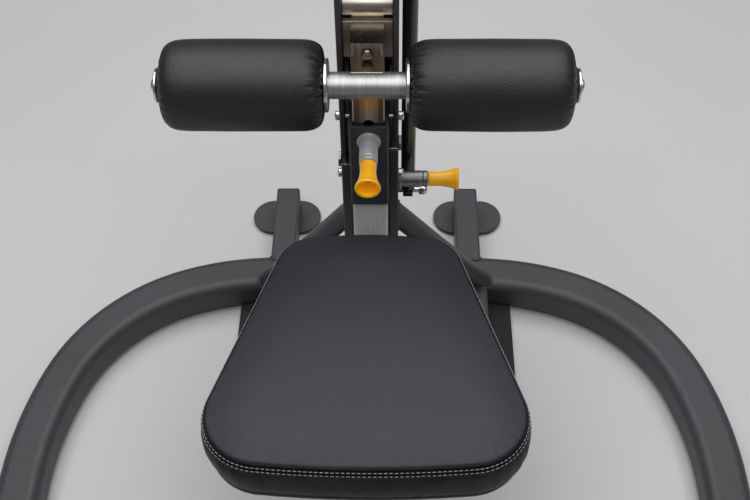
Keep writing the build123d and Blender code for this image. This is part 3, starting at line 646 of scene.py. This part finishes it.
# inset from the outline and height of each line round the cushion, from the underside up
SIDE_LINES = [
    (0.0200, 0.3675), (0.0060, 0.3674), (0.0032, 0.3680), (0.0012, 0.3700), (0.0000, 0.3740),
    (-0.0010, 0.3800), (-0.0016, 0.3860), (-0.0018, 0.3920), (-0.0018, 0.3975),
    (-0.0015, 0.4025), (-0.0010, 0.4070), (-0.0005, 0.4100), (-0.0001, 0.4122),
]
SEAM_LINES = [
    (0.0001, 0.4136), (0.0002, 0.4147), (0.0003, 0.4157), (0.0006, 0.4166), (0.0010, 0.4175),
    (0.0017, 0.4182), (0.0022, 0.4187), (0.0019, 0.4195), (0.0019, 0.4205), (0.0023, 0.4214),
    (0.0028, 0.4224), (0.0033, 0.4233), (0.0038, 0.4243), (0.0044, 0.4254), (0.0051, 0.4256),
    (0.0057, 0.4246),
]
PANEL_LINES = [
    (0.0060, 0.4254), (0.0063, 0.4264), (0.0070, 0.4272), (0.0081, 0.4279), (0.0100, 0.4286),
    (0.0135, 0.4297), (0.0190, 0.4313), (0.0270, 0.4334), (0.0380, 0.4358), (0.0520, 0.4379),
]
PANEL_EDGE = 0.0058
PANEL_FULL = 0.0520
PANEL_STEPS = 20
OUTER_STITCHES = 17
INNER_STITCHES = 23


def spine(spot):
    """The point of the seat's centre line that a point of the outline is drawn in to."""
    share = (spot.y - pad_low.y) / (pad_high.y - pad_low.y)
    return Vector((0.0, -0.200 + 0.130 * share, 0.0))


def drawn(step, inset, height):
    spot = outline[step % columns] - outward[step % columns] * inset
    return Vector((spot.x, spot.y, height))


def puckers(step, reach):
    """Small dips along the seam, where the thread draws the cover in."""
    spot = outline[step % columns]
    return reach * (0.0006 * noise.noise(spot * 62.0) + 0.0004 * noise.noise(spot * 150.0))


UNDERSIDE = Vector((0, 0, SIDE_LINES[0][1]))
cushion_lines = [[spine(outline[step % columns]) + UNDERSIDE for step in range(columns + 1)]]
for index, (inset, height) in enumerate(SIDE_LINES):
    line = []
    for step in range(columns + 1):
        spot = outline[step % columns]
        swell = 0.0014 * noise.noise(Vector((spot.x * 9, spot.y * 9, height * 30)))
        fullness = math.sin(math.pi * index / (len(SIDE_LINES) - 1))
        line.append(drawn(step, inset - fullness * (swell + 2.0 * puckers(step, 1.0)), height))
    cushion_lines.append(line)
for inset, height in SEAM_LINES:
    line = [drawn(step, inset, height + puckers(step, 0.4)) for step in range(columns + 1)]
    cushion_lines.append(line)
for inset, height in PANEL_LINES:
    near = max(0.0, 1.0 - (inset - PANEL_EDGE) / 0.020)
    line = []
    for step in range(columns + 1):
        spot = drawn(step, inset, height)
        hit = foam.ray_cast(Vector((spot.x, spot.y, 0.5)), DOWN)[0]
        blown = hit.z if hit is not None else height
        share = (inset - PANEL_EDGE) / (PANEL_FULL - PANEL_EDGE)
        spot.z = height + (blown - height) * share * share + puckers(step, 1.6 * near)
        line.append(spot)
    cushion_lines.append(line)
last = cushion_lines[-1]
for index in range(1, PANEL_STEPS + 1):
    share = index / PANEL_STEPS
    line = []
    for step in range(columns + 1):
        end = spine(outline[step % columns])
        spot = last[step].lerp(Vector((end.x, end.y, last[step].z)), share)
        hit = foam.ray_cast(Vector((spot.x, spot.y, 0.5)), DOWN)[0]
        spot.z = hit.z
        line.append(spot)
    cushion_lines.append(line)
# a stand-in for the blown crown; it is zero, so it changes nothing
quick_crown = 0.0
CROWN_REACH = 0.16
CROWN_MIDDLE = -0.13
for line in cushion_lines[-PANEL_STEPS:]:
    for spot in line:
        across = max(0.0, 1.0 - (spot.x / CROWN_REACH) ** 2)
        lengthwise = max(0.0, 1.0 - ((spot.y - CROWN_MIDDLE) / CROWN_REACH) ** 2)
        spot.z += quick_crown * across * lengthwise


def cushion_place(a, b):
    return cushion_lines[round(b * (len(cushion_lines) - 1))][round(a * columns)]


cushion_shape = skin(columns, len(cushion_lines) - 1, cushion_place)
panel_floor = SEAM_LINES[-1][1]

top_vinyl = Finish("seat_top_vinyl", Specular_IOR_Level=0.4)
top_pebble = top_vinyl.cells(1150.0)
top_creases = top_vinyl.cloud(420.0, 4.0)
top_wear = top_vinyl.cloud(8.0, 3.0)
top_tone = top_vinyl.colour(top_wear, (0.0255, 0.0215, 0.0315), (0.035, 0.0303, 0.042))
top_vinyl.feed("Base Color", top_tone)
top_vinyl.feed("Roughness", top_creases * 0.16 + top_wear * 0.08 + 0.44)
top_vinyl.relief(top_pebble * -0.7 + top_creases * 0.6, 0.00026)

side_vinyl = Finish("seat_side_vinyl", Specular_IOR_Level=0.15)
side_pebble = side_vinyl.cells(950.0)
side_creases = side_vinyl.cloud(330.0, 4.0)
side_wear = side_vinyl.cloud(12.0, 3.0)
# Near-black colour: black vinyl darkened further as painted shade on the unlit sides.
side_tone_with_painted_shade = side_vinyl.colour(side_wear, (0.0025, 0.0025, 0.0028), (0.005, 0.005, 0.0055))
side_vinyl.feed("Base Color", side_tone_with_painted_shade)
side_vinyl.feed("Roughness", side_creases * 0.18 + side_wear * 0.08 + 0.30)
side_vinyl.relief(side_pebble * -0.6 + side_creases * 0.7, 0.00026)

for face in cushion_shape.faces:
    middle = face.calc_center_median()
    on_top = middle.z > panel_floor - 0.0004 and inset_of(middle) > PANEL_EDGE - 0.0002
    face.material_index = 1 if on_top else 0
cushion = piece("seat_cushion", cushion_shape, side_vinyl, "seat")
cushion.data.materials.append(top_vinyl.material)
cushion_smooth = cushion.modifiers.new("smooth", "SUBSURF")
cushion_smooth.levels = cushion_smooth.render_levels = 1
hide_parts("seat_pad")


# ---- Seat stitching ----
# Two rows of pale bonded thread, one each side of the seam's groove, at a pitch of 6 mm. Each
# stitch is a soft-ended dash that dips into the vinyl, with a short gap before the next.
thread = Finish("stitch_thread", Specular_IOR_Level=0.3)
thread_tone = thread.cloud(260.0, 2.0)
thread_twist = thread.cloud(2200.0, 2.0)
thread_shade = thread_tone.between(0.3, 0.7)
thread.feed("Base Color", thread.colour(thread_shade, (0.22, 0.22, 0.23), (0.34, 0.34, 0.36)))
thread.feed("Roughness", thread_twist * 0.25 + 0.55)
thread.relief(thread_twist, 0.00012)

STITCH_HALF_LENGTH = 0.0025
STITCH_HALF_WIDTH = 0.0006
STITCH_HALF_HEIGHT = 0.0005

chance = random.Random(7)
stitches = bmesh.new()
for row in (OUTER_STITCHES, INNER_STITCHES):
    for step in range(0, columns, 2):
        centre = cushion_lines[row][step]
        along = (cushion_lines[row][(step + 1) % columns] - cushion_lines[row][step - 1]).normalized()
        across = cushion_lines[row + 1][step] - cushion_lines[row - 1][step]
        up = along.cross(across).normalized()
        if up.z < 0:
            up = -up
        side = up.cross(along)
        turn = Matrix((along, side, up)).transposed().to_4x4()
        half = STITCH_HALF_LENGTH * chance.uniform(0.92, 1.06)
        stretch = Matrix.Diagonal((half, STITCH_HALF_WIDTH, STITCH_HALF_HEIGHT, 1.0))
        lean = Matrix.Rotation(chance.uniform(-0.05, 0.05), 4, "Z")
        lie = Matrix.Translation(centre + up * 0.00028) @ turn @ lean @ stretch
        bmesh.ops.create_uvsphere(stitches, u_segments=7, v_segments=5, radius=1.0, matrix=lie)
piece("seat_stitching", stitches, thread, "seat")


# ---- Cover turned under the seat, and its staples ----
# The side panel is pulled round the plywood's edge and stapled to the underside. It gathers into small
# tucks.
TURN_UNDER = [
    (0.0050, 0.3690), (0.0046, 0.3650), (0.0044, 0.3600), (0.0046, 0.3560), (0.0058, 0.3542),
    (0.0080, 0.3538), (0.0140, 0.3537), (0.0200, 0.3537), (0.0250, 0.3538), (0.0270, 0.3540),
]


def turned_place(a, b):
    row = round(b * (len(TURN_UNDER) - 1))
    step = round(a * columns)
    inset, height = TURN_UNDER[row]
    tuck = 0.0006 * max(0.0, noise.noise(outline[step % columns] * 90.0)) * min(1.0, row / 5.0)
    ragged = 0.0025 * noise.noise(outline[step % columns] * 40.0) if row > 7 else 0.0
    return drawn(step, inset + ragged, height - tuck)


turned = skin(columns, len(TURN_UNDER) - 1, turned_place)
bmesh.ops.recalc_face_normals(turned, faces=turned.faces)
bmesh.ops.solidify(turned, geom=turned.faces[:], thickness=0.0009)
piece("seat_cover_turned_under", turned, side_vinyl, "seat")

staples = bmesh.new()
for step in range(0, columns, 9):
    centre = drawn(step, 0.0190, 0.3526)
    angle = math.atan2(outward[step].y, outward[step].x) + math.pi / 2 + chance.uniform(-0.25, 0.25)
    lie = Matrix.Translation(centre) @ Matrix.Rotation(angle, 4, "Z")
    crown_size = Matrix.Diagonal((0.0100, 0.0011, 0.0006, 1.0))
    bmesh.ops.create_cube(staples, size=1.0, matrix=lie @ crown_size)
    for end in (-0.0046, 0.0046):
        leg = Matrix.Translation((end, 0.0, 0.0012)) @ Matrix.Diagonal((0.0009, 0.0011, 0.0024, 1.0))
        bmesh.ops.create_cube(staples, size=1.0, matrix=lie @ leg)
piece("seat_staples", staples, steel, "seat")


# ---- Seat board ----
# Twelve-millimetre birch plywood under the foam, with its plies showing at the edge.
plywood = Finish("birch_plywood", Specular_IOR_Level=0.3)
ply_grain = plywood.cloud(1.0, 4.0, (260.0, 14.0, 900.0))
ply_layers = plywood.cloud(1.0, 1.0, (2.0, 2.0, 640.0))
ply_tone = ply_grain * 0.5 + ply_layers * 0.5
ply_shade = ply_tone.between(0.3, 0.7)
plywood.feed("Base Color", plywood.colour(ply_shade, (0.30, 0.17, 0.075), (0.58, 0.40, 0.22)))
plywood.feed("Roughness", ply_grain * 0.2 + 0.58)
plywood.relief(ply_grain, 0.00012, 0.0006)
coat(plywood, "seat_board")


# ---- Floor, light and camera ----
# A plain pale floor under one large soft box overhead, a little light from all round, and a
# camera that looks down on the seat.
studio = Finish("studio_floor", Specular_IOR_Level=0.2, Roughness=0.85)
studio.feed("Base Color", studio.colour(studio.cloud(1.5, 2.0), (0.56, 0.56, 0.56), (0.60, 0.60, 0.60)))
ground = bmesh.new()
bmesh.ops.create_circle(ground, cap_ends=True, segments=96, radius=14.0)
bmesh.ops.translate(ground, verts=ground.verts, vec=(0.0, 0.0, -0.0004))
ground_mesh = bpy.data.meshes.new("studio_floor")
ground.to_mesh(ground_mesh)
ground.free()
ground_mesh.materials.append(studio.material)
floor = bpy.data.objects.new("studio_floor", ground_mesh)
bpy.context.scene.collection.objects.link(floor)


def soft_box(name, place, aim, size, power):
    lamp = bpy.data.lights.new(name, "AREA")
    lamp.shape = "RECTANGLE"
    lamp.size, lamp.size_y = size
    lamp.energy = power
    lamp_object = bpy.data.objects.new(name, lamp)
    bpy.context.scene.collection.objects.link(lamp_object)
    turn = (Vector(aim) - Vector(place)).to_track_quat("-Z", "Y")
    lamp_object.matrix_world = Matrix.Translation(place) @ turn.to_matrix().to_4x4()


soft_box("overhead_soft_box", (0.0, 0.20, 2.9), (0.0, 0.20, 0.4), (3.0, 4.2), 108.0)

sky = bpy.data.worlds.new("studio_air")
sky.use_nodes = True
sky.node_tree.nodes["Background"].inputs["Color"].default_value = (0.80, 0.80, 0.81, 1.0)
sky.node_tree.nodes["Background"].inputs["Strength"].default_value = 0.18
bpy.context.scene.world = sky

view = bpy.data.cameras.new("bench_camera")
view.sensor_width = 36.0
view.lens = 55.06
viewer = bpy.data.objects.new("bench_camera", view)
bpy.context.scene.collection.objects.link(viewer)
viewer.matrix_world = (
    Matrix.Translation((0.0342, -0.9400, 1.5490))
    @ Matrix.Rotation(math.radians(1.595), 4, "Z")
    @ Matrix.Rotation(math.radians(90.0 - 49.52), 4, "X")
    @ Matrix.Rotation(math.radians(-1.04), 4, "Z")
)
bpy.context.scene.camera = viewer
bpy.context.scene.view_settings.view_transform = "Standard"
